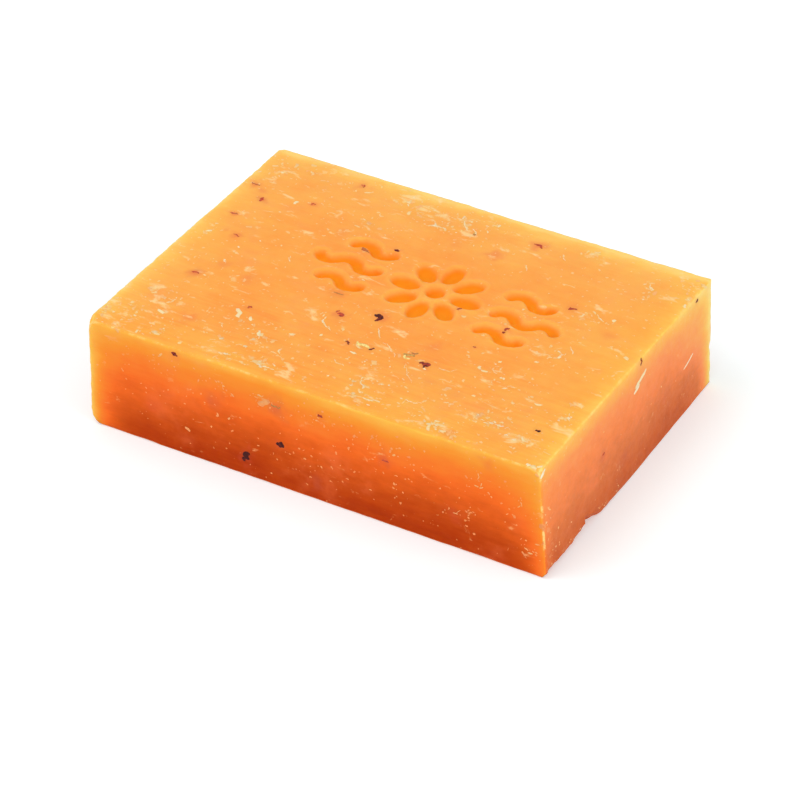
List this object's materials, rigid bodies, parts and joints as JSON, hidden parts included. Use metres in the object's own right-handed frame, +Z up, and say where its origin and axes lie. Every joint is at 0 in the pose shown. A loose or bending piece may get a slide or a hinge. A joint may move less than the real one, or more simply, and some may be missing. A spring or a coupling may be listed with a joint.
{
  "type": "bar of soap",
  "caption": "Rectangular hand-cut bar of soap with worn edges, a chipped foot, and a flower and waves pressed into its top face.",
  "frame": {"origin": "centre of the bounding box at the level of the resting face", "axes": "+X along the bar, towards the leaning and chipped end; +Y from the front face to the back face; +Z up, towards the pressed face"},
  "size_m": [0.091, 0.0654, 0.022],
  "materials": {
    "soap": "waxy orange soap, slightly translucent, with pale rolled crumbs and dark petal and herb flecks"
  },
  "bodies": {
    "root": {"soap_bar": "soap"}
  },
  "joints": []
}
